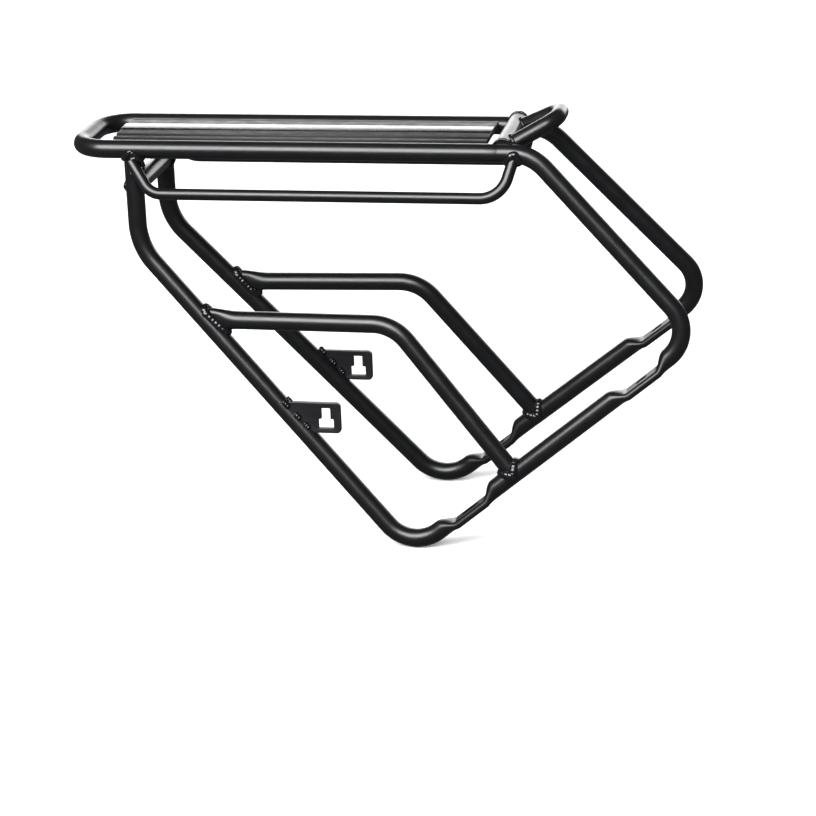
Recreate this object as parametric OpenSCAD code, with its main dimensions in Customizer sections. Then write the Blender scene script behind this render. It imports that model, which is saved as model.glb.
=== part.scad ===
// Rear carrier for a bicycle: a welded aluminium tube rack with a platform,
// two side frames, pannier rails, side braces, a front hoop and a ribbed deck.
// +X points to the saddle, +Y to the bicycle's left, +Z up.

/* [Tubes] */
// Outside diameter of the frame tube
tube_d = 16; // [14:0.5:18]
// Wall of the frame tube
tube_wall = 2; // [1.5:0.25:3]
// Outside diameter of the pannier rails
rail_d = 10; // [8:0.5:12]
// Wall of the pannier rails
rail_wall = 1.5; // [1:0.25:2.5]
// Outside diameter of the front hoop
hoop_d = 14; // [12:0.5:16]

/* [Platform] */
// Width of the platform between the tube centre lines
platform_w = 98; // [90:1:120]
// Length of the platform, from the rear tube's centre line to the front bend
platform_l = 397; // [330:1:480]
// Centre-line radius of the two rear corners
corner_r = 28; // [22:1:38]
// Distance of the butt weld between platform and side tube behind the front bend
splice_back = 28; // [26:1:40]

/* [Side frames] */
// Width between the side frames at the upper seat-stay bend
upper_w = 137; // [120:1:160]
// Width between the side frames at the lower bend
lower_w = 165; // [145:1:185]
// Forward reach of the upper seat-stay bend from the front bend
stay_reach = 141; // [120:1:165]
// Drop of the upper seat-stay bend below the platform
stay_drop = 150; // [125:1:175]
// Distance of the lower bend behind the front bend
foot_back = 107; // [90:1:125]
// Drop of the lower bend below the platform
foot_drop = 350; // [300:1:410]
// Distance of the rear leg's top behind the front bend
leg_back = 345.5; // [290:0.5:400]
// Drop of the bend in the rear leg below the platform
leg_bend_drop = 86; // [75:1:100]
// Centre-line radius of the front bend
front_bend_r = 40; // [30:1:46]
// Centre-line radius of the upper seat-stay bend
upper_bend_r = 30; // [24:1:34]
// Centre-line radius of the lower bend
lower_bend_r = 33; // [26:1:38]
// Centre-line radius of the bend in the rear leg
leg_bend_r = 52; // [36:1:60]

/* [Pads and slots] */
// Thickness of the flattened pads
pad_t = 7; // [6:0.5:9]
// Flat length of a pad
pad_l = 32; // [28:1:36]
// Distance of the upper pad's centre from the upper bend's corner
upper_pad_at = 62; // [60:1:75]
// Distance of the lower pad's centre from the lower bend's corner
lower_pad_at = 66; // [64:1:75]
// Width of the bolt slots
slot_w = 6.5; // [5.5:0.5:8.5]
// End-to-end length of the upper slots
upper_slot_l = 12; // [10:1:20]
// End-to-end length of the lower slots
lower_slot_l = 18; // [12:1:24]

/* [Side braces] */
// Share of the rear leg, from its bend down, at which the brace starts
brace_top_share = 0.24; // [0.2:0.01:0.3]
// Distance of the brace's foot from the lower bend's corner
brace_foot_at = 117; // [112:1:140]
// Distance of the brace's bend behind the front bend
brace_bend_back = 120; // [105:1:140]
// Centre-line radius of the brace's bend
brace_bend_r = 38; // [28:1:45]
// Height of the brace's pressed tail at the rear leg
tail_h = 21; // [18:1:24]
// Thickness of the brace's pressed tail
tail_t = 9; // [7:0.5:12]

/* [Pannier rails] */
// Width between the pannier rails' centre lines
pannier_w = 131; // [127:1:150]
// Drop of the pannier rails below the platform
pannier_drop = 35; // [30:1:45]
// Distance of the pannier rail's front corner behind the front bend
pannier_front_back = 24; // [20:1:60]
// Distance of the pannier rail's rear corner ahead of the rear leg
pannier_rear_ahead = 18; // [12:1:40]
// Centre-line radius of the pannier rail's front bend
pannier_front_r = 24; // [15:1:26]
// Centre-line radius of the pannier rail's rear bend
pannier_rear_r = 18; // [12:1:22]

/* [Front hoop and cross tubes] */
// Distance of the front cross tube behind the front bend
cross_back = 24; // [20:1:27]
// Rise of the front cross tube over the platform rails' centre line
cross_rise = 4; // [0:0.5:5]
// Half width of the hoop at its foot
hoop_foot_half = 33; // [28:0.5:34]
// Half width of the hoop at its top corners
hoop_top_half = 18; // [16:0.5:20]
// Forward reach of the hoop's top ahead of the front bend
hoop_reach = 18; // [14:1:30]
// Rise of the hoop's top over the platform
hoop_rise = 22.5; // [18:0.5:34]
// Centre-line radius of the hoop's corners
hoop_r = 15; // [12:1:15]
// Drop of the rear cross tube below the platform
rear_cross_drop = 33; // [28:1:45]

/* [Deck] */
// Width of the deck plate
deck_w = 70; // [60:1:76]
// Length of the deck plate
deck_l = 327; // [260:1:340]
// Gap between the deck's front end and the front bend
deck_front_back = 39.5; // [39.5:0.5:50]
// Height of the deck plate's panel over the platform rails' centre line
deck_top = 8; // [7.5:0.5:9]
// Wall of the deck plate
deck_wall = 2; // [1.5:0.25:3]
// Width of the deck's two edge flanges
flange_w = 6; // [4:0.5:8]
// Step down from the deck's panel to its edge flanges
flange_step = 1; // [0.5:0.25:2]
// Width of the two long grooves
groove_w = 4; // [3:0.5:6]
// Depth of the two long grooves
groove_d = 2.5; // [1:0.25:3]
// Width of the raised centre strip
strip_w = 18; // [14:0.5:24]
// Height of the centre strip over the panel
strip_h = 0.8; // [0.5:0.1:1.5]
// Diameter of the two bearers below the deck
bearer_d = 10; // [8:0.5:10]
// Distance of each bearer from the deck's ends
bearer_inset = 45; // [30:1:70]

/* [Keyhole lugs] */
// Share of the rear leg, from its bend down, at the lug's middle
lug_share = 0.553; // [0.5:0.01:0.6]
// Thickness of the lugs
lug_t = 4; // [3:0.5:6]
// Height of the lugs
lug_h = 28; // [26:1:34]
// Reach of the lugs ahead of the rear leg's centre line
lug_reach = 46; // [44:1:56]
// Width of the keyhole's narrow part
key_narrow_w = 8; // [6:0.5:9]
// Width of the keyhole's wide part
key_wide_w = 13.5; // [11:0.5:15]
// Height of the keyhole's narrow part
key_narrow_h = 10; // [8:0.5:11]
// Height of the keyhole's wide part
key_wide_h = 8.5; // [7:0.5:10]

/* [Weld beads] */
// Width of a bead along the tube
bead_w = 4; // [3:0.5:5]
// Height of a bead over the tube's surface
bead_h = 2.2; // [1.5:0.1:3]

/* [Hidden] */
$fn = 64;
hull_fn = 32;
slice = 0.05;
ring_l = 1.2;
ring_h = 0.1;
ring_gap = 0.2;
blend_step = 0.3;
frame_black = [0.05, 0.05, 0.055];
deck_black = [0.10, 0.10, 0.105];
strip_black = [0.16, 0.16, 0.17];

tube_r = tube_d / 2;
rail_r = rail_d / 2;
hoop_tube_r = hoop_d / 2;
bearer_r = bearer_d / 2;
half_w = platform_w / 2;
hoop_wall = tube_wall;

// Corners of the left side frame's centre line, measured from the front bend
splice = [-splice_back, half_w, 0];
front_corner = [0, half_w, 0];
upper_corner = [stay_reach, upper_w / 2, -stay_drop];
lower_corner = [-foot_back, lower_w / 2, -foot_drop];
leg_corner = [-leg_back, half_w, -leg_bend_drop];
leg_top = [-leg_back, half_w, 0];

function unit(v) = v / norm(v);
function between(a, b, share) = a + (b - a) * share;
function along(a, b, distance) = a + unit(b - a) * distance;

// Turn of a bend, the distance from its corner to its ends, and its centre
function turn(a, p, b) = 180 - acos(unit(a - p) * unit(b - p));
function tangent(a, p, b, r) = r * tan(turn(a, p, b) / 2);
function centre(a, p, b, r) = p + unit(unit(a - p) + unit(b - p)) * r / cos(turn(a, p, b) / 2);
function normal(a, p, b) = unit(cross(p - a, b - p));

// How far a bend's tube reaches along one axis, 0 for X, 1 for Y, 2 for Z
function reach(a, p, b, r, axis, sign) =
  centre(a, p, b, r)[axis]
  + sign * (r * sqrt(1 - normal(a, p, b)[axis] * normal(a, p, b)[axis]) + tube_r);

x_max = reach(front_corner, upper_corner, lower_corner, upper_bend_r, 0, 1);
x_min = -platform_l - tube_r;
z_min = reach(upper_corner, lower_corner, leg_corner, lower_bend_r, 2, -1);
z_max = hoop_rise + hoop_tube_r;
middle = [(x_max + x_min) / 2, 0, (z_max + z_min) / 2];

// Seat-stay run: its direction, and the pads' flat-face direction
stay_dir = unit(lower_corner - upper_corner);
pad_normal = unit(cross(stay_dir, [0, 1, 0]));
pad_side = cross(pad_normal, stay_dir);
pad_w = (PI * tube_d - PI * pad_t) / 2 + pad_t;
pad_offset = tube_r - pad_t / 2;
upper_pad = along(upper_corner, lower_corner, upper_pad_at);
lower_pad = along(lower_corner, upper_corner, lower_pad_at);
upper_blend = upper_pad_at - pad_l / 2 - ring_gap
  - tangent(front_corner, upper_corner, lower_corner, upper_bend_r);
lower_blend = lower_pad_at - pad_l / 2 - ring_gap
  - tangent(upper_corner, lower_corner, leg_corner, lower_bend_r);

// Brace corners
brace_top = between(leg_corner, lower_corner, brace_top_share);
brace_foot = along(lower_corner, upper_corner, brace_foot_at);
brace_bend = [-brace_bend_back, (brace_top[1] + brace_foot[1]) / 2 - 4, brace_top[2] + 1];
brace_run = unit(brace_bend - brace_top);
tail_l = 26;

// Pannier rail corners; its ends stand on the rear leg and on the platform rail
pannier_rear = [-leg_back, half_w + tube_r, -rail_r - 4];
pannier_rear_corner = [-leg_back + pannier_rear_ahead, pannier_w / 2, -pannier_drop];
pannier_front_corner = [-pannier_front_back, pannier_w / 2, -pannier_drop];
pannier_front = [-pannier_front_back + 10, half_w + 4, -3];

// Hoop and cross tubes
cross_at = [-cross_back, 0, cross_rise];
hoop_foot = [-cross_back, hoop_foot_half, cross_rise - 3];
hoop_top = [hoop_reach, hoop_top_half, hoop_rise];

// Deck
deck_front = -deck_front_back;
deck_rear = deck_front - deck_l;
deck_half = deck_w / 2;
flange_top = deck_top - flange_step;
groove_out = deck_half - flange_w;
groove_in = groove_out - groove_w;
deck_under = flange_top - groove_d - deck_wall;
bearer_z = deck_under + 0.5 - bearer_r;

// Keyhole lug
lug_at = between(leg_corner, lower_corner, lug_share);
lug_out = 4;
lug_corner_r = 4;
key_from_edge = 4.5;

// A solid placed with its Z axis from a to b and its X axis near side_hint
module placed(a, z_dir, x_hint) {
  y_dir = unit(cross(z_dir, x_hint));
  x_dir = cross(y_dir, z_dir);
  multmatrix([
    [x_dir[0], y_dir[0], z_dir[0], a[0]],
    [x_dir[1], y_dir[1], z_dir[1], a[1]],
    [x_dir[2], y_dir[2], z_dir[2], a[2]],
    [0, 0, 0, 1]
  ]) children();
}

// A direction that isn't along v
function hint(v) = abs(v[1]) < 0.9 ? [0, 1, 0] : [1, 0, 0];

module rod(a, b, r) {
  placed(a, unit(b - a), hint(unit(b - a))) cylinder(h = norm(b - a), r = r);
}

// A straight stretch of tube
module pipe(a, b, r, wall) {
  placed(a, unit(b - a), hint(unit(b - a)))
    difference() {
      cylinder(h = norm(b - a), r = r);
      translate([0, 0, -1]) cylinder(h = norm(b - a) + 2, r = r - wall);
    }
}

// A low ring over the line where two stretches of one tube meet
module ring(at, dir, r, wall) {
  placed(at, dir, hint(dir))
    difference() {
      cylinder(h = ring_l, r = r + ring_h, center = true);
      cylinder(h = ring_l + 2, r = r - wall - ring_h, center = true);
    }
}

// A bend at corner p between the runs to a and b
module elbow(a, p, b, bend_r, r, wall) {
  middle_of_bend = centre(a, p, b, bend_r);
  x_dir = unit(p + unit(a - p) * tangent(a, p, b, bend_r) - middle_of_bend);
  clear_angle = ring_gap / bend_r * 180 / PI;
  placed(middle_of_bend, normal(a, p, b), x_dir)
    rotate([0, 0, clear_angle])
      rotate_extrude(angle = turn(a, p, b) - 2 * clear_angle)
        translate([bend_r, 0])
          difference() {
            circle(r = r);
            circle(r = r - wall);
          }
}

// A bent tube through corners, with one bend radius for each inner corner
module bent_pipe(points, radii, r, wall) {
  last = len(points) - 1;
  gap = [for (i = [0 : last])
    i == 0 || i == last ? 0 : tangent(points[i - 1], points[i], points[i + 1], radii[i - 1])];
  for (i = [0 : last - 1])
    pipe(along(points[i], points[i + 1], gap[i] + (i > 0 ? ring_gap : 0)),
      along(points[i + 1], points[i], gap[i + 1] + (i + 1 < last ? ring_gap : 0)), r, wall);
  for (i = [1 : last - 1]) {
    elbow(points[i - 1], points[i], points[i + 1], radii[i - 1], r, wall);
    ring(along(points[i], points[i - 1], gap[i]), unit(points[i] - points[i - 1]), r, wall);
    ring(along(points[i], points[i + 1], gap[i]), unit(points[i + 1] - points[i]), r, wall);
  }
}

// The left side as drawn, or its mirror image on the right
module on_side(side) {
  translate(-middle)
    mirror([0, side == "right" ? 1 : 0, 0]) children();
}

module in_frame() {
  translate(-middle) children();
}

// The platform's two rails, used to cut what stands against them
module platform_rails() {
  for (side = [-1, 1])
    rod([-platform_l + corner_r, side * half_w, 0], [-splice_back + 60, side * half_w, 0], tube_r);
}

module leg_rod() {
  rod(leg_corner, along(lower_corner, leg_corner, 20), tube_r);
}

module stay_rod() {
  rod(upper_corner, lower_corner, tube_r);
}

module platform_loop() {
  rear = -platform_l;
  color(frame_black)
    in_frame()
      bent_pipe([
        [-splice_back, -half_w, 0], [rear, -half_w, 0], [rear, half_w, 0], [-splice_back, half_w, 0]
      ], [corner_r, corner_r], tube_r, tube_wall);
}

// Stadium outline of a pad across the tube, drawn in by inset all round
module pad_outline(inset = 0) {
  translate([pad_offset, 0])
    union() {
      square([pad_t - 2 * inset, pad_w - pad_t], center = true);
      for (end = [-1, 1])
        translate([0, end * (pad_w - pad_t) / 2]) circle(d = pad_t - 2 * inset);
    }
}

module pad_slot(slot_l) {
  straight = slot_l - slot_w;
  translate([pad_offset, 0, 0])
    rotate([0, 90, 0]) {
      cube([straight, slot_w, 2 * tube_d], center = true);
      for (end = [-1, 1])
        translate([end * straight / 2, 0, 0])
          cylinder(h = 2 * tube_d, d = slot_w, center = true);
    }
}

// The stretch from a pad's end back to the round tube
module pad_blend(blend_l) {
  hull() {
    translate([0, 0, pad_l / 2 - ring_l / 2])
      linear_extrude(slice) pad_outline(ring_h, $fn = hull_fn);
    translate([0, 0, pad_l / 2 + blend_l])
      cylinder(h = ring_gap, r = tube_r - blend_step, $fn = hull_fn);
  }
}

// A pad with its slot and its two blends, along the seat-stay run
module pad(at, slot_l, blend_l) {
  placed(at, stay_dir, pad_normal) {
    difference() {
      translate([0, 0, -pad_l / 2]) linear_extrude(pad_l) pad_outline();
      pad_slot(slot_l);
    }
    pad_blend(blend_l);
    mirror([0, 0, 1]) pad_blend(blend_l);
  }
  for (end = [-1, 1])
    ring(at + stay_dir * end * (pad_l / 2 + blend_l + ring_gap), stay_dir, tube_r, tube_wall);
}

module side_tube(side) {
  upper_gap = tangent(front_corner, upper_corner, lower_corner, upper_bend_r);
  lower_gap = tangent(upper_corner, lower_corner, leg_corner, lower_bend_r);
  leg_gap = tangent(lower_corner, leg_corner, leg_top, leg_bend_r);
  front_gap = tangent(splice, front_corner, upper_corner, front_bend_r);
  pad_end = pad_l / 2 + 2 * ring_gap;
  on_side(side) {
    pipe(splice, along(front_corner, splice, front_gap + ring_gap), tube_r, tube_wall);
    ring(along(front_corner, splice, front_gap), [1, 0, 0], tube_r, tube_wall);
    elbow(splice, front_corner, upper_corner, front_bend_r, tube_r, tube_wall);
    ring(along(front_corner, upper_corner, front_gap), unit(upper_corner - front_corner),
      tube_r, tube_wall);
    pipe(along(front_corner, upper_corner, front_gap + ring_gap),
      along(upper_corner, front_corner, upper_gap + ring_gap), tube_r, tube_wall);
    ring(along(upper_corner, front_corner, upper_gap), unit(upper_corner - front_corner),
      tube_r, tube_wall);
    elbow(front_corner, upper_corner, lower_corner, upper_bend_r, tube_r, tube_wall);
    pad(upper_pad, upper_slot_l, upper_blend);
    pipe(along(upper_corner, lower_corner, upper_pad_at + upper_blend + pad_end),
      along(lower_corner, upper_corner, lower_pad_at + lower_blend + pad_end),
      tube_r, tube_wall);
    pad(lower_pad, lower_slot_l, lower_blend);
    elbow(upper_corner, lower_corner, leg_corner, lower_bend_r, tube_r, tube_wall);
    ring(along(lower_corner, leg_corner, lower_gap), unit(leg_corner - lower_corner),
      tube_r, tube_wall);
    pipe(along(lower_corner, leg_corner, lower_gap + ring_gap),
      along(leg_corner, lower_corner, leg_gap + ring_gap), tube_r, tube_wall);
    ring(along(leg_corner, lower_corner, leg_gap), unit(leg_corner - lower_corner),
      tube_r, tube_wall);
    elbow(lower_corner, leg_corner, leg_top, leg_bend_r, tube_r, tube_wall);
    ring(along(leg_corner, leg_top, leg_gap), [0, 0, 1], tube_r, tube_wall);
    difference() {
      pipe(along(leg_corner, leg_top, leg_gap + ring_gap), leg_top, tube_r, tube_wall);
      platform_rails();
    }
  }
}

module side_tube_left() { color(frame_black) side_tube("left"); }
module side_tube_right() { color(frame_black) side_tube("right"); }

// The brace's pressed tail, from the round tube to the rear leg
module brace_tail() {
  hull() {
    placed(brace_top + brace_run * (tail_l + ring_gap), -brace_run, [0, 0, 1])
      cylinder(h = slice, r = tube_r - blend_step, $fn = hull_fn);
    placed(brace_top, brace_run, [0, 0, 1])
      linear_extrude(slice)
        for (end = [-1, 1])
          translate([end * (tail_h - tail_t) / 2, 0]) circle(d = tail_t, $fn = hull_fn);
  }
}

// Brace: pressed tail at the rear leg, one bend, coped foot on the seat-stay run
module side_brace(side) {
  tail_end = brace_top + brace_run * (tail_l + 2 * ring_gap);
  on_side(side)
    difference() {
      union() {
        bent_pipe([tail_end + brace_run * ring_gap, brace_bend, brace_foot], [brace_bend_r],
          tube_r, tube_wall);
        ring(tail_end, brace_run, tube_r, tube_wall);
        brace_tail();
      }
      leg_rod();
      stay_rod();
    }
}

module side_brace_left() { color(frame_black) side_brace("left"); }
module side_brace_right() { color(frame_black) side_brace("right"); }

module pannier_rail(side) {
  on_side(side)
    difference() {
      bent_pipe([pannier_rear, pannier_rear_corner, pannier_front_corner, pannier_front],
        [pannier_rear_r, pannier_front_r], rail_r, rail_wall);
      platform_rails();
      rod(leg_top, leg_corner, tube_r);
    }
}

module pannier_rail_left() { color(frame_black) pannier_rail("left"); }
module pannier_rail_right() { color(frame_black) pannier_rail("right"); }

module front_cross_rod(r) {
  rod(cross_at - [0, half_w, 0], cross_at + [0, half_w, 0], r);
}

module front_cross_tube() {
  color(frame_black)
    in_frame()
      difference() {
        pipe(cross_at - [0, half_w, 0], cross_at + [0, half_w, 0], tube_r, tube_wall);
        platform_rails();
      }
}

module front_hoop() {
  mirrored_foot = [hoop_foot[0], -hoop_foot[1], hoop_foot[2]];
  mirrored_top = [hoop_top[0], -hoop_top[1], hoop_top[2]];
  color(frame_black)
    in_frame()
      difference() {
        bent_pipe([mirrored_foot, mirrored_top, hoop_top, hoop_foot],
          [hoop_r, hoop_r], hoop_tube_r, hoop_wall);
        front_cross_rod(tube_r);
      }
}

module rear_cross_tube() {
  color(frame_black)
    in_frame()
      difference() {
        pipe([-leg_back, -half_w, -rear_cross_drop], [-leg_back, half_w, -rear_cross_drop],
          tube_r, tube_wall);
        for (side = [-1, 1])
          rod([-leg_back, side * half_w, 0], [-leg_back, side * half_w, -2 * rear_cross_drop],
            tube_r);
      }
}

module bearer(x) {
  difference() {
    pipe([x, -half_w, bearer_z], [x, half_w, bearer_z], bearer_r, rail_wall);
    platform_rails();
  }
}

bearer_front_x = deck_front - bearer_inset;
bearer_rear_x = deck_rear + bearer_inset;

module deck_bearer_front() { color(frame_black) in_frame() bearer(bearer_front_x); }
module deck_bearer_rear() { color(frame_black) in_frame() bearer(bearer_rear_x); }

// Outline of one half of the deck across its width, from the middle outwards
half_deck = [
  [groove_in, deck_top], [groove_in, flange_top - groove_d],
  [groove_out, flange_top - groove_d], [groove_out, flange_top], [deck_half, flange_top],
  [deck_half, deck_under]
];
other_half = [for (i = [len(half_deck) - 1 : -1 : 0]) [-half_deck[i][0], half_deck[i][1]]];

module deck_plate() {
  color(deck_black)
    in_frame()
      difference() {
        translate([deck_rear, 0, 0])
          rotate([90, 0, 90])
            linear_extrude(deck_l) polygon(concat(half_deck, other_half));
        for (x = [bearer_front_x, bearer_rear_x])
          rod([x, -half_w, bearer_z], [x, half_w, bearer_z], bearer_r);
      }
}

module deck_strip() {
  color(strip_black)
    in_frame()
      translate([deck_rear, -strip_w / 2, deck_top]) cube([deck_l, strip_w, strip_h]);
}

// Keyhole lug: a flat plate on the rear leg with an inverted-T slot
module keyhole_outline() {
  translate([-key_narrow_w / 2, 0]) square([key_narrow_w, key_narrow_h + key_wide_h]);
  translate([-key_wide_w / 2, 0]) square([key_wide_w, key_wide_h]);
}

// The lug's rear edge follows the leg's centre line, its two front corners are round
module lug_outline() {
  lean = (lower_corner[0] - leg_corner[0]) / (lower_corner[2] - leg_corner[2]);
  half = lug_h / 2;
  corner_x = lug_reach - lug_corner_r;
  corner_z = half - lug_corner_r;
  upper = [for (a = [90 : -10 : 0])
    [corner_x + lug_corner_r * cos(a), corner_z + lug_corner_r * sin(a)]];
  lower = [for (a = [0 : -10 : -90])
    [corner_x + lug_corner_r * cos(a), -corner_z + lug_corner_r * sin(a)]];
  polygon(concat([[lean * half, half]], upper, lower, [[-lean * half, -half]]));
}

module keyhole_lug(side) {
  on_side(side)
    difference() {
      translate(lug_at + [0, lug_out + lug_t / 2, 0])
        rotate([90, 0, 0])
          linear_extrude(lug_t)
            difference() {
              lug_outline();
              translate([lug_reach - key_from_edge - key_wide_w / 2 - 2, -lug_h / 2 + key_from_edge])
                keyhole_outline();
            }
      rod(leg_corner, lower_corner, tube_r);
    }
}

module keyhole_lug_left() { color(frame_black) keyhole_lug("left"); }
module keyhole_lug_right() { color(frame_black) keyhole_lug("right"); }

// A conical bead round a branch tube, from its foot along dir
module bead(at, dir, r) {
  placed(at, dir, hint(dir))
    difference() {
      cylinder(h = bead_w, r1 = r + bead_h, r2 = r + bead_h / 3);
      translate([0, 0, -1]) cylinder(h = bead_w + 2, r = r);
    }
}

module weld_leg_top(side) {
  on_side(side)
    difference() {
      bead(leg_top - [0, 0, tube_r + 1.5], [0, 0, -1], tube_r);
      platform_rails();
    }
}

module weld_leg_top_left() { color(frame_black) weld_leg_top("left"); }
module weld_leg_top_right() { color(frame_black) weld_leg_top("right"); }

// The tail meets the leg at a slant, so its bead is a saddle on the leg round the tail
module weld_brace_top(side) {
  on_side(side)
    difference() {
      intersection() {
        rod(leg_corner, along(lower_corner, leg_corner, 20), tube_r + bead_w);
        placed(brace_top, brace_run, [0, 0, 1])
          linear_extrude(tube_d + tail_h)
            union() {
              square([tail_h - tail_t, tail_t + 2 * bead_h], center = true);
              for (end = [-1, 1])
                translate([end * (tail_h - tail_t) / 2, 0]) circle(d = tail_t + 2 * bead_h);
            }
      }
      leg_rod();
      translate([-bead_w, 0, 0]) leg_rod();
      brace_tail();
    }
}

module weld_brace_top_left() { color(frame_black) weld_brace_top("left"); }
module weld_brace_top_right() { color(frame_black) weld_brace_top("right"); }

// A saddle bead on the tube from a to b, round a branch of radius r that leaves at along dir
module saddle(at, dir, r, a, b) {
  intersection() {
    rod(a, b, tube_r + bead_w);
    placed(at, dir, hint(dir))
      difference() {
        cylinder(h = 2 * tube_d, r = r + bead_h);
        translate([0, 0, -1]) cylinder(h = 2 * tube_d + 2, r = r);
      }
  }
}

module weld_brace_foot(side) {
  up = unit(brace_bend - brace_foot);
  on_side(side)
    difference() {
      bead(brace_foot + up * (tube_r + 1), up, tube_r);
      stay_rod();
    }
}

module weld_brace_foot_left() { color(frame_black) weld_brace_foot("left"); }
module weld_brace_foot_right() { color(frame_black) weld_brace_foot("right"); }

module weld_pannier_front(side) {
  down = unit(pannier_front_corner - pannier_front);
  on_side(side)
    difference() {
      bead(pannier_front + down * 7, down, rail_r);
      platform_rails();
      elbow(splice, front_corner, upper_corner, front_bend_r, tube_r, tube_r - slice);
    }
}

// The pannier rail's rear end runs into the side of the rear leg's top
module weld_pannier_rear(side) {
  on_side(side)
    difference() {
      saddle(pannier_rear, unit(pannier_rear_corner - pannier_rear), rail_r, leg_top,
        leg_corner);
      rod(leg_top, leg_corner, tube_r);
      platform_rails();
    }
}

module weld_pannier_rear_left() { color(frame_black) weld_pannier_rear("left"); }
module weld_pannier_rear_right() { color(frame_black) weld_pannier_rear("right"); }

// Beads where the lug's two faces meet the rear leg
module weld_lug(side) {
  on_side(side)
    difference() {
      intersection() {
        rod(leg_corner, lower_corner, tube_r + bead_h);
        translate(lug_at + [0, lug_out + lug_t / 2 + bead_h, 0])
          rotate([90, 0, 0])
            linear_extrude(lug_t + 2 * bead_h) lug_outline();
      }
      rod(leg_corner, lower_corner, tube_r);
      translate(lug_at + [-lug_h, lug_out - lug_t / 2, -lug_h])
        cube([3 * lug_h, lug_t, 2 * lug_h]);
    }
}

module weld_lug_left() { color(frame_black) weld_lug("left"); }
module weld_lug_right() { color(frame_black) weld_lug("right"); }

module weld_pannier_front_left() { color(frame_black) weld_pannier_front("left"); }
module weld_pannier_front_right() { color(frame_black) weld_pannier_front("right"); }

module weld_front_cross() {
  color(frame_black)
    in_frame()
      for (side = [-1, 1])
        difference() {
          bead([-cross_back, side * (half_w - tube_r + 1), cross_rise], [0, -side, 0], tube_r);
          platform_rails();
          front_hoop_rods();
        }
}

module front_hoop_rods() {
  for (side = [-1, 1])
    rod([hoop_foot[0], side * hoop_foot[1], hoop_foot[2]],
      [hoop_top[0], side * hoop_top[1], hoop_top[2]], hoop_tube_r);
}

module weld_rear_cross() {
  color(frame_black)
    in_frame()
      for (side = [-1, 1])
        difference() {
          bead([-leg_back, side * (half_w - tube_r + 1), -rear_cross_drop], [0, -side, 0], tube_r);
          rod([-leg_back, side * half_w, 0], [-leg_back, side * half_w, -2 * rear_cross_drop],
            tube_r);
        }
}

module weld_hoop_foot() {
  color(frame_black)
    in_frame()
      for (side = [-1, 1])
        difference() {
          foot = [hoop_foot[0], side * hoop_foot[1], hoop_foot[2]];
          top = [hoop_top[0], side * hoop_top[1], hoop_top[2]];
          up = unit(top - foot);
          bead(foot + up * (tube_r + 1), up, hoop_tube_r);
          front_cross_rod(tube_r);
          platform_rails();
        }
}

platform_loop();
side_tube_left();
side_tube_right();
side_brace_left();
side_brace_right();
pannier_rail_left();
pannier_rail_right();
front_hoop();
front_cross_tube();
rear_cross_tube();
deck_bearer_front();
deck_bearer_rear();
deck_plate();
deck_strip();
keyhole_lug_left();
keyhole_lug_right();
weld_leg_top_left();
weld_leg_top_right();
weld_brace_top_left();
weld_brace_top_right();
weld_brace_foot_left();
weld_brace_foot_right();
weld_pannier_front_left();
weld_pannier_front_right();
weld_pannier_rear_left();
weld_pannier_rear_right();
weld_lug_left();
weld_lug_right();
weld_front_cross();
weld_rear_cross();
weld_hoop_foot();
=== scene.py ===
# %% [markdown]
# # A bicycle's rear carrier
# This carrier is welded from aluminium tube and coated black. Every piece here follows the same
# sizes as the CAD frame, so it lands in place without fitting. The first cell loads that frame.

# %% Load the frame
import math
import random

import bmesh
import bpy
from mathutils import Matrix, Vector


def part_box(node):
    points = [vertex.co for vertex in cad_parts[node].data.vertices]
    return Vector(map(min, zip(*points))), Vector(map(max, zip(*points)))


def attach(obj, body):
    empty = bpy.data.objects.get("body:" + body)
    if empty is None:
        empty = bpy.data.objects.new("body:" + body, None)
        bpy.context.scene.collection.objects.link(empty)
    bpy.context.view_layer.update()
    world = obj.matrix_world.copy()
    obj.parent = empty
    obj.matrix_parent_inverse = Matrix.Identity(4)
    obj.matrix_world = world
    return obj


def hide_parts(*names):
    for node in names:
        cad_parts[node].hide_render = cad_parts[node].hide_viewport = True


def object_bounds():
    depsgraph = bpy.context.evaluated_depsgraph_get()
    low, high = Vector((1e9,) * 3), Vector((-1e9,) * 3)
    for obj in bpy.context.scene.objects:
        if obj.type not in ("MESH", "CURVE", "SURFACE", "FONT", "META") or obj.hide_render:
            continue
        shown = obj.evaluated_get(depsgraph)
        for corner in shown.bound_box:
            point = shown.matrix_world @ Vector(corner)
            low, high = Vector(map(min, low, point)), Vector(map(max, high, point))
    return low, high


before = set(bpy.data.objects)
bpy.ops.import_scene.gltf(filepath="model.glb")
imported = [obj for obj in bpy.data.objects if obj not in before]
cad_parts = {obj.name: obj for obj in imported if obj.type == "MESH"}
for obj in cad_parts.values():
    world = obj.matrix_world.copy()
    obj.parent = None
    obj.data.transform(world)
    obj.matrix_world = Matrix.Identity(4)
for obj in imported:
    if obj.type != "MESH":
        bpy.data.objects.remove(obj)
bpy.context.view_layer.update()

# %% [markdown]
# The tubes are easiest to describe from the front bend, in millimetres: x runs forward, y to the
# left and z up, with zero on the platform rails' centre line. One helper turns such a point into
# scene metres, and takes its origin from the CAD platform.

# %% From millimetres to the scene
platform_l, tube_r, rail_r = 397.0, 8.0, 5.0
loop_low, loop_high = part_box("platform_loop")
ORIGIN = Vector((loop_low.x + (platform_l + tube_r) / 1000, 0.0, (loop_low.z + loop_high.z) / 2))


def scene_point(p):
    return ORIGIN + Vector(p) / 1000


print("front bend at", [round(v, 4) for v in scene_point((0, 0, 0))])

# %% [markdown]
# A bent tube is straight runs joined by round bends. Its centre line is worked out first: each
# inner corner is cut back by the bend's tangent length and filled with an arc. Close stations in
# the bends keep them smooth, and wide ones on the runs save faces.

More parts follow.
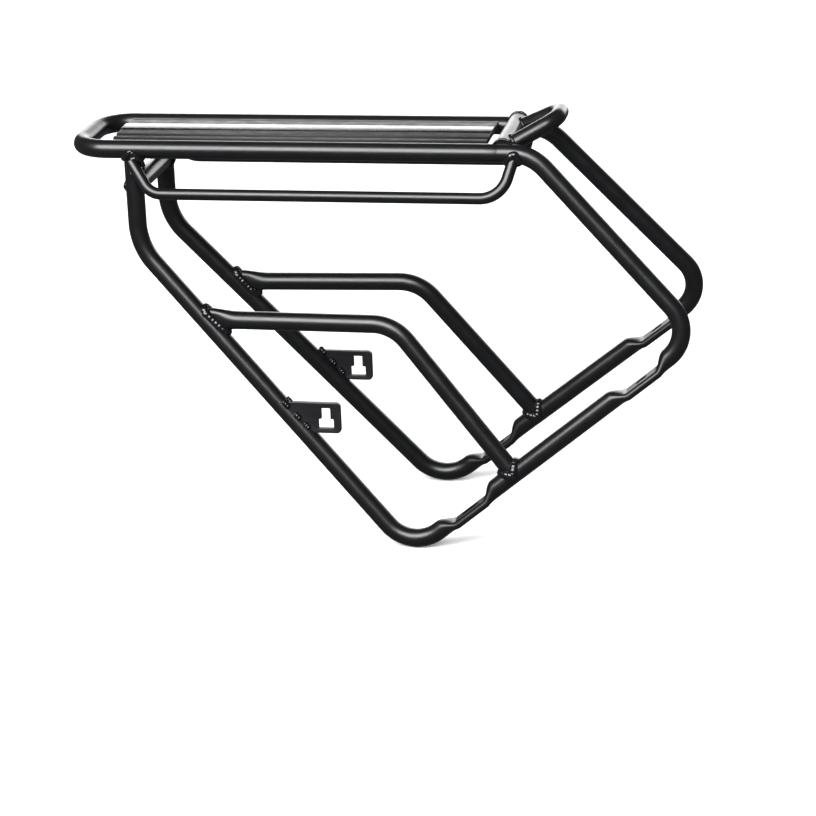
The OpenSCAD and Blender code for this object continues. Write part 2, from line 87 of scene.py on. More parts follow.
# %% Centre line of a bent tube
def bent_line(corners, radii, arc_step=3.0, run_step=12.0):
    """Stations (point, direction, distance) along a line through corners with round bends."""
    corners = [Vector(c) for c in corners]
    points = [corners[0]]
    for before, corner, after, r in zip(corners, corners[1:], corners[2:], radii):
        u, v = (before - corner).normalized(), (after - corner).normalized()
        turn = math.pi - u.angle(v)
        cut = r * math.tan(turn / 2)
        centre = corner + (u + v).normalized() * r / math.cos(turn / 2)
        start = corner + u * cut
        axis = (-u).cross(v).normalized()
        steps = max(4, round(r * turn / arc_step))
        for i in range(steps + 1):
            points.append(centre + Matrix.Rotation(turn * i / steps, 3, axis) @ (start - centre))
    points.append(corners[-1])
    dense = [points[0]]
    for a, b in zip(points, points[1:]):
        parts = max(1, math.ceil((b - a).length / run_step))
        dense += [a.lerp(b, k / parts) for k in range(1, parts + 1)]
    return stations_of(dense)


def stations_of(points):
    """Adds the direction and the distance from the start to each point of a line."""
    out, gone = [], 0.0
    for i, p in enumerate(points):
        a, b = points[max(i - 1, 0)], points[min(i + 1, len(points) - 1)]
        if i:
            gone += (p - points[i - 1]).length
        out.append((p, (b - a).normalized(), gone))
    return out


# %% [markdown]
# A tube's skin is swept: the same ring of points is laid at each station and joined to the next
# with quads. Blender's bevelled curves could do this, but they can't change the ring's shape
# along the way, which the pressed pads need, so the rings are laid in mesh code.

# %% Sweep a ring along a line
def sweep(bm, stations, ring_at, side_hint, closed=False):
    """Adds a skin to bm. ring_at(distance) gives (along normal, along side) pairs in mm."""
    rings = []
    for p, t, s in stations:
        side = (side_hint - t * side_hint.dot(t)).normalized()
        normal = t.cross(side)
        rings.append([bm.verts.new(scene_point(p + normal * a + side * b)) for a, b in ring_at(s)])
    count = len(rings[0])
    pairs = list(zip(rings, rings[1:])) + ([(rings[-1], rings[0])] if closed else [])
    for one, two in pairs:
        for k in range(count):
            m = (k + 1) % count
            bm.faces.new((one[k], one[m], two[m], two[k]))
    if not closed:
        bm.faces.new(list(reversed(rings[0])))
        bm.faces.new(rings[-1])


def circle_ring(r, count=48):
    return [(r * math.cos(2 * math.pi * k / count), r * math.sin(2 * math.pi * k / count))
            for k in range(count)]


def smoothstep(x):
    x = min(max(x, 0.0), 1.0)
    return x * x * (3 - 2 * x)


# %% [markdown]
# Each mesh becomes a piece that rides on the CAD body and stands for its CAD node. Faces are
# smooth, and only edges that turn by more than a set angle stay sharp, as on real metal.

# %% Turn a mesh into a piece
pieces = []


def piece(name, bm, material, stands_for=(), sharp=38.0):
    bmesh.ops.recalc_face_normals(bm, faces=bm.faces)
    for f in bm.faces:
        f.smooth = True
    for e in bm.edges:
        if len(e.link_faces) == 2 and e.calc_face_angle() > math.radians(sharp):
            e.smooth = False
    mesh = bpy.data.meshes.new(name)
    bm.to_mesh(mesh)
    bm.free()
    mesh.materials.append(material)
    obj = bpy.data.objects.new(name, mesh)
    bpy.context.scene.collection.objects.link(obj)
    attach(obj, "root")
    if stands_for:
        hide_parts(*stands_for)
    pieces.append(name)
    print(name, len(mesh.polygons), "faces")
    return obj


# %% [markdown]
# ## Finishes
# Colours are written as sRGB hex values, as a colour card gives them. Blender's shaders work in
# linear light, so one function converts them. Another adds a shader node with its settings and
# its links, which keeps each material down to a few lines.

# %% Colour and node helpers
def linear(hex_colour):
    """A colour card's sRGB hex value as linear red, green, blue and alpha."""
    values = [int(hex_colour[i:i + 2], 16) / 255 for i in (1, 3, 5)]
    return [v / 12.92 if v <= 0.04045 else ((v + 0.055) / 1.055) ** 2.4 for v in values] + [1.0]


def add_node(tree, kind, settings=None, **inputs):
    """Adds a node. settings are its options, inputs are values or the sockets they come from."""
    node = tree.nodes.new(kind)
    for key, value in (settings or {}).items():
        setattr(node, key, value)
    for key, value in inputs.items():
        socket = node.inputs[int(key[1:]) if key[0] == "_" else key.replace("_", " ")]
        if isinstance(value, bpy.types.NodeSocket):
            tree.links.new(value, socket)
        else:
            socket.default_value = value
    return node


def new_material(name):
    material = bpy.data.materials.new(name)
    material.use_nodes = True
    tree = material.node_tree
    return material, tree, tree.nodes["Principled BSDF"]


# %% [markdown]
# The frame is aluminium tube under a polyester powder coat, baked black. Such a coat is a smooth
# plastic film with an IOR of 1.5 and a soft gloss. The powder flows out before it sets and leaves
# orange peel, low waves about 1.5 mm across. Its grain of under 0.1 mm is too fine to show, so
# it is drawn 0.4 mm across.

# %% Black powder coat
def powder_coat(name, dark, light, gloss, peel_mm=1.5, peel_height=0.003, grain_height=0.0003):
    """gloss is the roughness range from the glossiest to the dullest patches."""
    material, tree, coat = new_material(name)
    place = add_node(tree, "ShaderNodeTexCoord").outputs["Object"]
    patches = add_node(tree, "ShaderNodeTexNoise", Vector=place, Scale=1 / 0.045, Detail=3.0)
    shade = add_node(tree, "ShaderNodeMix", {"data_type": "RGBA"}, _6=linear(dark), _7=linear(light),
                     Factor=patches.outputs["Fac"])
    tree.links.new(shade.outputs[2], coat.inputs["Base Color"])
    handled = add_node(tree, "ShaderNodeTexNoise", Vector=place, Scale=1 / 0.012, Detail=4.0)
    dull = add_node(tree, "ShaderNodeMapRange", Value=handled.outputs["Fac"], _1=0.3, _2=0.7,
                    _3=gloss[0], _4=gloss[1])
    tree.links.new(dull.outputs["Result"], coat.inputs["Roughness"])
    peel = add_node(tree, "ShaderNodeTexNoise", Vector=place, Scale=1000 / peel_mm, Detail=1.0)
    grain = add_node(tree, "ShaderNodeTexNoise", Vector=place, Scale=1000 / 0.4, Detail=0.0)
    low = add_node(tree, "ShaderNodeBump", Height=grain.outputs["Fac"], Strength=1.0,
                   Distance=grain_height / 1000)
    high = add_node(tree, "ShaderNodeBump", Height=peel.outputs["Fac"], Strength=1.0,
                    Distance=peel_height / 1000, Normal=low.outputs["Normal"])
    tree.links.new(high.outputs["Normal"], coat.inputs["Normal"])
    coat.inputs["IOR"].default_value = 1.5
    return material


frame_coat = powder_coat("black_powder_coat", "#060607", "#0a0a0b", (0.28, 0.35))
weld_coat = powder_coat("black_coat_over_weld", "#08080a", "#0e0e10", (0.14, 0.24), 0.9, 0.008)
plate_coat = powder_coat("black_coat_on_plate", "#0c0c0d", "#121214", (0.34, 0.44))
deck_coat = powder_coat("fine_texture_black_coat", "#09090a", "#101011", (0.46, 0.58), 0.8, 0.012, 0.004)
strip_coat = powder_coat("smooth_gloss_black_coat", "#0b0b0c", "#111112", (0.20, 0.27), 2.5, 0.003)
print("finishes:", [m.name for m in bpy.data.materials if "coat" in m.name])

# %% [markdown]
# ## The platform loop
# One tube runs round the platform's rear end. It is a plain circle in section, swept along the
# two rails and the two rear corners, and it stops at a butt weld behind the front bends.

# %% Platform loop
half_w, splice = 49.0, -28.0
LEFT = Vector((0, 1, 0))
UP = Vector((0, 0, 1))
bm = bmesh.new()
loop_line = bent_line([(splice, -half_w, 0), (-platform_l, -half_w, 0), (-platform_l, half_w, 0),
                       (splice, half_w, 0)], [28.0, 28.0])
loop_end = loop_line[-1][2]


def loop_ring(s):
    """The ends are eased by a quarter of a millimetre, which leaves the butt weld's fine seam."""
    ease = 0.25 * max(1 - s / 0.6, 1 - (loop_end - s) / 0.6, 0)
    return circle_ring(tube_r - ease)


def with_stations_near(stations, places):
    """Adds stations at the given distances."""
    out = list(stations)
    for place in places:
        for (p, t, s), (q, u, e) in zip(stations, stations[1:]):
            if s < place < e:
                share = (place - s) / (e - s)
                out.append((p.lerp(q, share), t.lerp(u, share).normalized(), place))
    return sorted(out, key=lambda item: item[2])


sweep(bm, with_stations_near(loop_line, [0.6, loop_end - 0.6]), loop_ring, UP)
piece("platform_rails", bm, frame_coat, ["platform_loop"])

# %% [markdown]
# ## The side frames
# Each side frame is one long tube with four bends. Two stretches of its lower run are pressed
# flat to seat against the bicycle, each with a bolt slot. Pressing keeps the tube's
# circumference, so the flat's outline is a stadium as long round as the circle was.

# %% Side frame corners and pressed sections
upper_corner = Vector((141.0, 68.5, -150.0))
lower_corner = Vector((-107.0, 82.5, -350.0))
leg_corner = Vector((-345.5, half_w, -86.0))
leg_top = Vector((-345.5, half_w, 0.0))
frame_corners = [(splice, half_w, 0), (0, half_w, 0), upper_corner, lower_corner, leg_corner, leg_top]
frame_bends = [40.0, 30.0, 33.0, 52.0]
pad_t, pad_l = 7.0, 32.0
stay_dir = (lower_corner - upper_corner).normalized()
pad_normal = stay_dir.cross(LEFT).normalized()
upper_pad = upper_corner + stay_dir * 62
lower_pad = lower_corner - stay_dir * 66


def stadium_ring(thickness, around, shift, count=48):
    """A stadium as long round as `around`; its thin way is the ring's first direction."""
    r = thickness / 2
    flat = (around - 2 * math.pi * r) / 2
    out = []
    for k in range(count):
        s = (around * k / count + flat / 2) % around
        if s < flat:
            a, b = r, s - flat / 2
        elif s < flat + math.pi * r:
            angle = (s - flat) / r
            a, b = r * math.cos(angle), flat / 2 + r * math.sin(angle)
        elif s < 2 * flat + math.pi * r:
            a, b = -r, flat / 2 - (s - flat - math.pi * r)
        else:
            angle = (s - 2 * flat - math.pi * r) / r
            a, b = -r * math.cos(angle), -flat / 2 - r * math.sin(angle)
        out.append((a + shift, b))
    return out


def mixed_ring(one, two, share):
    return [(a + (c - a) * share, b + (d - b) * share) for (a, b), (c, d) in zip(one, two)]


round_tube = circle_ring(tube_r)
pad_ring = stadium_ring(pad_t, 2 * math.pi * tube_r, tube_r - pad_t / 2)
print("pad width, mm:", round(max(b for a, b in pad_ring) * 2, 1))

# %% [markdown]
# The tube swells back to round over about 16 mm at each end of a pad, quickly at the pad and
# slowly at the tube, because the press tool has a tight edge. A share from 0 to 1 says how far
# pressed each ring is.

# %% Sweep the side frames
def pressed_share(distance_to_pad, blend=15.0):
    """1 on the pad, 0 on the round tube, with a quick start at the pad's end."""
    beyond = abs(distance_to_pad) - pad_l / 2
    if beyond <= 0:
        return 1.0
    return 1 - smoothstep((beyond / blend) ** 0.8)


def side_line(side):
    return bent_line([Vector((x, y * side, z)) for x, y, z in frame_corners], frame_bends)


def slot_cutter(name, centre, across, along, length, width=6.5):
    """A stadium-shaped bar that cuts a bolt slot through a pad."""
    cutter = bmesh.new()
    third = along.cross(across).normalized()
    outline = []
    for end in (1, -1):
        for k in range(13):
            angle = math.pi * (k / 12 - 0.5)
            outline.append(along * end * ((length - width) / 2 + width / 2 * math.cos(angle))
                           + third * end * width / 2 * math.sin(angle))
    low = [cutter.verts.new(scene_point(centre + q - across * 12)) for q in outline]
    high = [cutter.verts.new(scene_point(centre + q + across * 12)) for q in outline]
    cutter.faces.new(low)
    cutter.faces.new(list(reversed(high)))
    for k in range(len(low)):
        m = (k + 1) % len(low)
        cutter.faces.new((low[k], high[k], high[m], low[m]))
    bmesh.ops.recalc_face_normals(cutter, faces=cutter.faces)
    mesh = bpy.data.meshes.new(name)
    cutter.to_mesh(mesh)
    cutter.free()
    obj = bpy.data.objects.new(name, mesh)
    bpy.context.scene.collection.objects.link(obj)
    return obj


def cut_away(obj, cutter):
    """Cuts with a Boolean modifier and keeps only its result."""
    modifier = obj.modifiers.new("cut", "BOOLEAN")
    modifier.operation, modifier.solver, modifier.object = "DIFFERENCE", "EXACT", cutter
    graph = bpy.context.evaluated_depsgraph_get()
    cut = bpy.data.meshes.new_from_object(obj.evaluated_get(graph), depsgraph=graph)
    obj.modifiers.clear()
    old = obj.data
    obj.data = cut
    bpy.data.meshes.remove(old)
    bpy.data.objects.remove(cutter)


for side, word in ((1, "left"), (-1, "right")):
    mirrored = Vector((1, side, 1))
    line = side_line(side)
    pads = [(upper_pad * mirrored, 12.0), (lower_pad * mirrored, 18.0)]
    direction = stay_dir * mirrored
    fine = [q for q in line if q[1].angle(direction) >= 0.02]
    run = [q for q in line if q[1].angle(direction) < 0.02]
    run_start, run_end = run[0], run[-1]
    run_length = (run_end[0] - run_start[0]).length
    for k in range(int(run_length) + 1):
        p = run_start[0].lerp(run_end[0], k / int(run_length))
        fine.append((p, direction, run_start[2] + run_length * k / int(run_length)))
    fine.sort(key=lambda item: item[2])
    pad_places = [run_start[2] + (centre - run_start[0]).length for centre, _ in pads]

    def frame_ring(s):
        share = max(pressed_share(s - place) for place in pad_places)
        return mixed_ring(round_tube, pad_ring, share)

    bm = bmesh.new()
    sweep(bm, fine, frame_ring, LEFT)
    tube = piece(f"side_frame_{word}", bm, frame_coat, [f"side_tube_{word}"])
    for centre, slot_l in pads:
        cut_away(tube, slot_cutter("slot", centre + pad_normal * (tube_r - pad_t / 2), pad_normal,
                                   direction, slot_l))

# %% [markdown]
# ## Side braces
# A brace runs forward from the rear leg, bends and drops to the lower run. Its rear end is
# squeezed to a tall, thin tail for a longer weld, and its foot stands on the round tube.

# %% Side braces
brace_top = leg_corner.lerp(lower_corner, 0.24)
brace_foot = lower_corner - stay_dir * 117
brace_bend = Vector((-120.0, (brace_top.y + brace_foot.y) / 2 - 4, brace_top.z + 1))
brace_run = (brace_bend - brace_top).normalized()
tail_h, tail_t, tail_l = 21.0, 9.0, 26.0
tall_ring = [(b, a) for a, b in stadium_ring(tail_t, math.pi * tail_t + 2 * (tail_h - tail_t), 0.0)]
tall_ring = [tall_ring[(12 - k) % 48] for k in range(48)]


def tail_ring(s):
    """The tail flares up and down to the leg, and is round again after its blend."""
    pressed = 1 - smoothstep((s - 4) / tail_l)
    return mixed_ring(round_tube, tall_ring, pressed)


def across(p, side):
    return Vector((p[0], p[1] * side, p[2]))


for side, word in ((1, "left"), (-1, "right")):
    foot_stop = brace_foot + (brace_bend - brace_foot).normalized() * 2
    line = bent_line([across(p, side) for p in (brace_top, brace_bend, foot_stop)], [38.0],
                     run_step=3.0)
    bm = bmesh.new()
    sweep(bm, line, tail_ring, LEFT)
    piece(f"side_brace_{word}_skin", bm, frame_coat, [f"side_brace_{word}"])

# %% [markdown]
# ## Pannier rails, hoop and cross tubes
# The thinner rail hangs outside the platform for the hooks of pannier bags. The hoop leans
# forward from the front cross tube. All are plain round tubes, so a plain ring is swept.

# %% Pannier rails
pannier_line = [(-345.5, half_w + tube_r, -9.0), (-327.5, 65.5, -35.0), (-24.0, 65.5, -35.0),
                (-14.0, half_w + 4, -3.0)]
for side, word in ((1, "left"), (-1, "right")):
    bm = bmesh.new()
    sweep(bm, bent_line([across(p, side) for p in pannier_line], [18.0, 24.0], 2.0),
          lambda s: circle_ring(rail_r, 32), LEFT)
    piece(f"pannier_rail_{word}_skin", bm, frame_coat, [f"pannier_rail_{word}"])

# %% Front hoop and cross tubes
hoop_r = 7.0
hoop_line = [(-24.0, -33.0, 1.0), (18.0, -18.0, 22.5), (18.0, 18.0, 22.5), (-24.0, 33.0, 1.0)]
bm = bmesh.new()
sweep(bm, bent_line(hoop_line, [15.0, 15.0], 1.5), lambda s: circle_ring(hoop_r), Vector((1, 0, -2)))
piece("front_hoop_skin", bm, frame_coat, ["front_hoop"])
for name, x, z, node in (("front_cross_skin", -24.0, 4.0, "front_cross_tube"),
                         ("rear_cross_skin", -345.5, -33.0, "rear_cross_tube")):
    bm = bmesh.new()
    sweep(bm, bent_line([(x, -half_w, z), (x, half_w, z)], [], run_step=6), lambda s: round_tube, UP)
    piece(name, bm, frame_coat, [node])

# %% [markdown]
# ## The deck
# The deck is a flat plate on two hidden bearers, with a groove near each edge, a low flange
# outside it and a smooth raised strip along the middle. Its section is drawn once, with every
# corner eased by half a millimetre so that it catches the light, and drawn out to the length.

# %% Deck plate and strip
deck_front, deck_l = -39.5, 327.0
half_section = [(0, 8.0), (25.0, 8.0), (25.0, 4.5), (29.0, 4.5), (29.0, 7.0), (35.0, 7.0),
                (35.0, 2.5), (0, 2.5)]


def eased(outline, r=0.5, steps=3):
    """Rounds each corner of a closed outline by a small radius."""
    out = []
    n = len(outline)
    for i, (x, y) in enumerate(outline):
        before, after = Vector(outline[i - 1]), Vector(outline[(i + 1) % n])
        corner = Vector((x, y))
        u, v = (before - corner).normalized(), (after - corner).normalized()
        if abs(u.dot(v)) > 0.999:
            out.append((x, y))
            continue
        for k in range(steps + 1):
            t = k / steps
            q = (corner + u * r) * (1 - t) ** 2 + corner * 2 * t * (1 - t) + (corner + v * r) * t * t
            out.append((q.x, q.y))
    return out


def drawn_out(bm, outline, x0, x1, ease=0.5):
    """A section (y, z) drawn along x, with its two ends eased."""
    middle = Vector((0, sum(z for y, z in outline) / len(outline)))
    stations = [(x0, ease), (x0 + ease, 0), ((x0 + x1) / 2, 0), (x1 - ease, 0), (x1, ease)]
    rings = []
    for x, inset in stations:
        ring = []
        for y, z in outline:
            shrink_y = max(0, abs(y) - inset) * (1 if y >= 0 else -1)
            shrink_z = z - inset * (1 if z > middle.y else -1) * (1 if abs(z - middle.y) > 1.5 else 0)
            ring.append(bm.verts.new(scene_point((x, shrink_y, shrink_z))))
        rings.append(ring)
    for one, two in zip(rings, rings[1:]):
        for k in range(len(one)):
            m = (k + 1) % len(one)
            bm.faces.new((one[k], one[m], two[m], two[k]))
    bm.faces.new(list(reversed(rings[0])))
    bm.faces.new(rings[-1])


full_section = half_section[1:-1] + [(-y, z) for y, z in reversed(half_section[1:-1])]
bm = bmesh.new()
drawn_out(bm, eased(full_section), deck_front - deck_l, deck_front)
piece("deck_panel", bm, deck_coat, ["deck_plate"], sharp=50)
bm = bmesh.new()
strip_section = eased([(9, 7.9), (9, 8.8), (-9, 8.8), (-9, 7.9)], 0.3)
drawn_out(bm, strip_section, deck_front - deck_l, deck_front, 0.3)
piece("deck_middle_strip", bm, strip_coat, ["deck_strip"], sharp=50)

# %% [markdown]
# ## Keyhole lugs
# A 4 mm plate stands on each rear leg for a bag's lower hook. Its edge and its upside-down T
# slot are cut first, then every corner is beveled, as tumbling leaves it.

# %% Keyhole lugs
lug_at = leg_corner.lerp(lower_corner, 0.553)
lean = (lower_corner.x - leg_corner.x) / (lower_corner.z - leg_corner.z)


def rounded_corner(x, z, r, first, last, steps=6):
    return [(x + r * math.cos(math.radians(first + (last - first) * k / steps)),
             z + r * math.sin(math.radians(first + (last - first) * k / steps)))
            for k in range(steps + 1)]


lug_outline = ([(lean * 14, 14)] + rounded_corner(42, 10, 4, 90, 0) + rounded_corner(42, -10, 4, 0, -90)
               + [(-lean * 14, -14)])
key_x, key_z = 46 - 4.5 - 6.75 - 2, -14 + 4.5
key_outline = [(-6.75, 0), (6.75, 0), (6.75, 8.5), (4, 8.5), (4, 18.5), (-4, 18.5), (-4, 8.5),
               (-6.75, 8.5)]
key_outline = eased(key_outline, 0.9, 4)


def flat_plate(bm, outline, y0, y1):
    """A closed plate in the x-z plane between two depths."""
    low = [bm.verts.new(scene_point((x, y0, z))) for x, z in outline]
    high = [bm.verts.new(scene_point((x, y1, z))) for x, z in outline]
    bm.faces.new(low)
    bm.faces.new(list(reversed(high)))
    for k in range(len(low)):
        m = (k + 1) % len(low)
        bm.faces.new((low[k], high[k], high[m], low[m]))
    bmesh.ops.recalc_face_normals(bm, faces=bm.faces)


for side, word in ((1, "left"), (-1, "right")):
    base_y = lug_at.y + 4
    bm = bmesh.new()
    flat_plate(bm, [(lug_at.x + x, lug_at.z + z) for x, z in lug_outline],
               side * (base_y - 2), side * (base_y + 2))
    lug = piece(f"keyhole_lug_{word}_plate", bm, plate_coat, [f"keyhole_lug_{word}"])
    cutter = bmesh.new()
    flat_plate(cutter, [(lug_at.x + key_x + x, lug_at.z + key_z + z) for x, z in key_outline],
               side * (base_y - 9), side * (base_y + 9))
    mesh = bpy.data.meshes.new("key_slot")
    cutter.to_mesh(mesh)
    cutter.free()
    key = bpy.data.objects.new("key_slot", mesh)
    bpy.context.scene.collection.objects.link(key)
    cut_away(lug, key)
    bevel = lug.modifiers.new("eased_edges", "BEVEL")
    bevel.width, bevel.segments, bevel.limit_method = 0.0005, 2, "ANGLE"
    bevel.angle_limit = math.radians(40)

# %% [markdown]
# ## Weld beads
# Where two tubes meet, the welder lays a bead round the joint, one molten drop on the last, so it
# looks like a row of tipped coins. The joint line is found by sliding points of the branch tube
# down to the main tube. A small ring is swept along it and swells and shrinks with each drop.
# The drops' length and size vary a little, from one seeded source, so that each run is the same.

# %% Weld bead helpers
dice = random.Random(7)


def joint_line(branch, direction, ring, side_hint, main, main_dir, main_r, count=96):
    """The closed line where a branch's ring, slid against its direction, meets the main tube."""
    direction, main_dir = Vector(direction).normalized(), Vector(main_dir).normalized()
    side = (side_hint - direction * side_hint.dot(direction)).normalized()
    normal = direction.cross(side)
    found = []
    for k in range(count):
        a, b = ring[(k * len(ring) // count) % len(ring)]
        offset = normal * a + side * b
        start = Vector(branch) + offset + direction * 40
        away = start - Vector(main)
        flat = away - main_dir * away.dot(main_dir)
        slide = -direction + main_dir * direction.dot(main_dir)
        qa, qb, qc = slide.dot(slide), 2 * flat.dot(slide), flat.dot(flat) - main_r ** 2
        root = qb * qb - 4 * qa * qc
        reach = (-qb - math.sqrt(root)) / (2 * qa) if root > 0 else -qb / (2 * qa)
        p = start - direction * reach
        out_main = (p - Vector(main))
        out_main = (out_main - main_dir * out_main.dot(main_dir)).normalized()
        found.append((p, (out_main + offset.normalized()).normalized()))
    return found


def coin_bead(bm, line, r=2.6, pitch=0.0, closed=True, lift=0.3, swell=0.16):
    """Sweeps a rippled bead along points with outward directions. pitch is one drop's length."""
    pitch = pitch or 0.85 * r
    points = [q for q, _ in line]
    total = sum((b - a).length for a, b in zip(points, points[1:] + (points[:1] if closed else [])))
    steps = max(24, int(total / 0.45))
    lengths, gone = [0.0], 0.0
    loop = line + ([line[0]] if closed else [])
    for (a, _), (b, _) in zip(loop, loop[1:]):
        gone += (b - a).length
        lengths.append(gone)
    rings, drop_start, drop_l, drop_r = [], 0.0, pitch, 1.0
    for i in range(steps if closed else steps + 1):
        s = total * i / steps
        k = max(j for j in range(len(lengths) - 1) if lengths[j] <= s + 1e-9)
        share = (s - lengths[k]) / max(lengths[k + 1] - lengths[k], 1e-9)
        (p, out), (q, out_next) = loop[k], loop[k + 1]
        here, outward = p.lerp(q, share), out.lerp(out_next, share).normalized()
        t = (q - p).normalized()
        across_line = t.cross(outward).normalized()
        if s - drop_start > drop_l:
            drop_start += drop_l
            drop_l, drop_r = pitch * dice.uniform(0.85, 1.2), dice.uniform(0.92, 1.08)
        drop = (s - drop_start) / drop_l
        size = r * drop_r * (1 - swell + swell * math.sqrt(max(0.0, 1 - (2 * drop - 1) ** 2)))
        if not closed:
            size *= math.sqrt(min(1, max(0.02, min(i, steps - i) / (steps * 0.12))))
        lean_back = t * size * 0.35
        ring = []
        for j in range(14):
            angle = 2 * math.pi * j / 14
            ring.append(bm.verts.new(scene_point(
                here + outward * (lift + size * 0.85 * math.cos(angle))
                + across_line * size * math.sin(angle) - lean_back * math.cos(angle))))
        rings.append(ring)
    pairs = list(zip(rings, rings[1:])) + ([(rings[-1], rings[0])] if closed else [])
    for one, two in pairs:
        for j in range(14):
            m = (j + 1) % 14
            bm.faces.new((one[j], one[m], two[m], two[j]))
    if not closed:
        bm.faces.new(list(reversed(rings[0])))
        bm.faces.new(rings[-1])


# %% [markdown]
# The frame has nine kinds of joint, the lugs' among them. Eight get a bead here, laid with their
# tubes' own axes and radii. Each bead stands for the plain collar of the CAD model.

# %% Lay the welds
thin_ring = circle_ring(rail_r)
hoop_ring = circle_ring(hoop_r)
rail_end_ring = [(a * 1.5, b) for a, b in thin_ring]
X_AXIS = Vector((1, 0, 0))
leg_dir = (lower_corner - leg_corner).normalized()
brace_up = (brace_bend - brace_foot).normalized()
rail_rear, rail_rear_corner = Vector(pannier_line[0]), Vector(pannier_line[1])
rail_front, rail_front_corner = Vector(pannier_line[3]), Vector(pannier_line[2])

for side, word in ((1, "left"), (-1, "right")):
    def there(p):
        return across(p, side)

    joints = {
        f"weld_leg_top_{word}": [(leg_top, -UP, round_tube, LEFT, (0, half_w, 0), X_AXIS, tube_r, 2.6)],
        f"weld_brace_top_{word}": [(brace_top, brace_run, tall_ring, LEFT, leg_corner, leg_dir, tube_r, 4.0)],
        f"weld_brace_foot_{word}": [(brace_foot, brace_up, round_tube, LEFT, lower_corner, stay_dir, tube_r, 3.8)],
        f"weld_pannier_front_{word}": [(rail_front, rail_front_corner - rail_front, thin_ring, LEFT,
                                        (0, half_w, 0), X_AXIS, tube_r, 3.4)],
        f"weld_pannier_rear_{word}": [(rail_rear + Vector((3.0, 0, -5.0)), LEFT, rail_end_ring, X_AXIS,
                                       leg_top, UP, tube_r, 2.8)],
    }
    for name, seams in joints.items():
        bm = bmesh.new()
        for start, direction, ring, hint, main, main_dir, main_r, r in seams:
            coin_bead(bm, joint_line(there(start), there(direction), ring, hint, there(main),
                                     there(main_dir), main_r), r)
        piece(f"{name}_bead", bm, weld_coat, [name], sharp=80)

for name, joint_list in {
    "weld_front_cross": [((-24, 0, 4), (0, -s, 0), round_tube, UP, (0, s * half_w, 0), X_AXIS, tube_r, 1.4)
                         for s in (1, -1)],
    "weld_rear_cross": [((-345.5, 0, -33), (0, -s, 0), round_tube, X_AXIS, (-345.5, s * half_w, 0), UP,
                         tube_r, 2.6) for s in (1, -1)],
    "weld_hoop_foot": [((-24, s * 33, 1), (42, -s * 15, 21.5), hoop_ring, UP, (-24, 0, 4), LEFT, tube_r, 1.5)
                       for s in (1, -1)],
}.items():
    bm = bmesh.new()
    for start, direction, ring, hint, main, main_dir, main_r, r in joint_list:
        coin_bead(bm, joint_line(start, direction, ring, hint, main, main_dir, main_r), r)
    piece(f"{name}_bead", bm, weld_coat, [name], sharp=80)

# %% [markdown]
# The lug has short stitches, not a full seam: three on each face along the leg.

# %% Lug stitches
for side, word in ((1, "left"), (-1, "right")):
    bm = bmesh.new()
    for face in (-1, 1):
        depth = 4 + face * 2
        rise = math.sqrt(max(tube_r ** 2 - depth ** 2, 4.0))
        out_dir = leg_dir.cross(LEFT) * -1
        out_dir = out_dir if out_dir.x > 0 else -out_dir
        for start, stop in ((-0.038, -0.016), (0.002, 0.024), (0.036, 0.056)):
            line = []
            for k in range(9):
                share = 0.553 + start + (stop - start) * k / 8
                p = leg_corner.lerp(lower_corner, share)
                p = Vector((p.x, lug_at.y + depth, p.z)) + out_dir * (rise + 1.2)
                line.append((across(p, side), across(out_dir * 0.7 + LEFT * face * 0.7, side)))
            coin_bead(bm, line, 3.1, closed=False, lift=0.2)
    piece(f"weld_lug_{word}_stitches", bm, weld_coat, [f"weld_lug_{word}"], sharp=80)

# %% [markdown]
# ## Camera
# The view is from the bicycle's right, a little ahead and above. Right, up and look are the
# camera's own directions, and a long lens keeps the two side frames nearly the same size.

# %% Camera
centre = Vector((0.445924, -2.2281, 0.716916))
right, up, look = (Vector((0.98329, 0.17885, -0.03406)), Vector((-0.02832, 0.33508, 0.94176)),
                   Vector((-0.17984, 0.92506, -0.33454)))
lens = bpy.data.cameras.new("camera")
lens.lens, lens.sensor_width = 119.1176, 36
camera = bpy.data.objects.new("camera", lens)
bpy.context.scene.collection.objects.link(camera)
turned = Matrix((right, up, -look)).transposed().to_4x4()
turned.translation = centre
camera.matrix_world = turned
bpy.context.scene.camera = camera

# %% [markdown]
# ## Floor
# A plain pale floor stands just under the lowest bend. It is left out of reflections, so that
# the black tubes keep dark lower edges, as they would against a studio's dark surroundings.

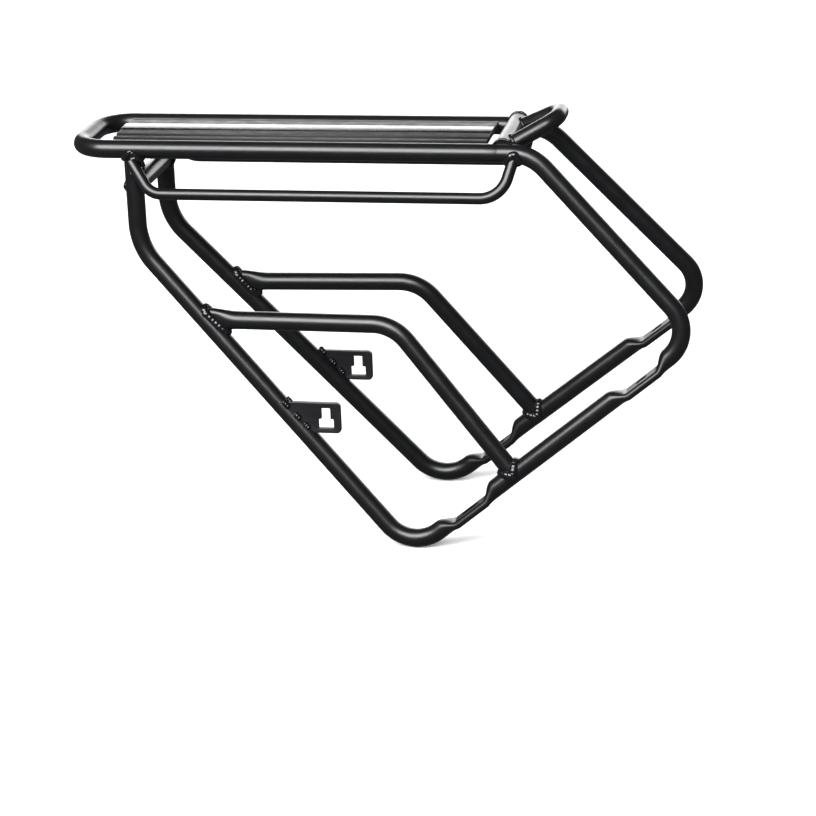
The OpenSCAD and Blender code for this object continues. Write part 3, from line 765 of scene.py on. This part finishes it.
# %% Floor
low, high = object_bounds()
bm = bmesh.new()
bmesh.ops.create_grid(bm, x_segments=8, y_segments=8, size=30)
mesh = bpy.data.meshes.new("floor")
bm.to_mesh(mesh)
bm.free()
floor = bpy.data.objects.new("floor", mesh)
floor.location = (0, 0, low[2] - 0.0005)
bpy.context.scene.collection.objects.link(floor)
material, tree, paint = new_material("pale_floor")
paint.inputs["Base Color"].default_value = linear("#f4f4f4")
paint.inputs["Roughness"].default_value = 0.9
mesh.materials.append(material)
floor.visible_glossy = False

# %% [markdown]
# ## Lights
# Gloss black is drawn by what it reflects. A large softbox on the near side gives each tube its
# soft band. A bright panel behind makes the flat deck and upward faces shine. A wide fill above
# lightens the floor's shadow and is kept out of reflections. The rest is dim.

# %% Lights
def softbox(name, at, aim, size, radiance):
    data = bpy.data.lights.new(name, "AREA")
    data.shape, data.size, data.size_y = "RECTANGLE", size[0], size[1]
    data.energy = radiance * math.pi * size[0] * size[1]
    obj = bpy.data.objects.new(name, data)
    obj.location = at
    obj.rotation_euler = (Vector(aim) - Vector(at)).to_track_quat("-Z", "Y").to_euler()
    obj.visible_camera = False
    bpy.context.scene.collection.objects.link(obj)
    return obj


softbox("front_softbox", (-0.6, -2.1, 1.7), (0, 0, 0), (2.8, 1.7), 15)
softbox("back_panel", (0, 2.5, 0.62), (0, 0, 0.4), (3.0, 1.0), 4)
fill = softbox("overhead_fill", (0, 0, 3.2), (0, 0, 0), (5.0, 5.0), 1.6)
fill.visible_glossy = False
world = bpy.data.worlds.new("studio")
world.use_nodes = True
world.node_tree.nodes["Background"].inputs["Color"].default_value = (0.9, 0.93, 1, 1)
world.node_tree.nodes["Background"].inputs["Strength"].default_value = 0.12
bpy.context.scene.world = world
bpy.context.scene.view_settings.view_transform = "Standard"

# %% [markdown]
# ## Finish
# Any CAD node with no piece of its own gets the frame's coat.

# %% Finish
for node_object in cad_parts.values():
    if not node_object.hide_render:
        node_object.data.materials.clear()
        node_object.data.materials.append(frame_coat)
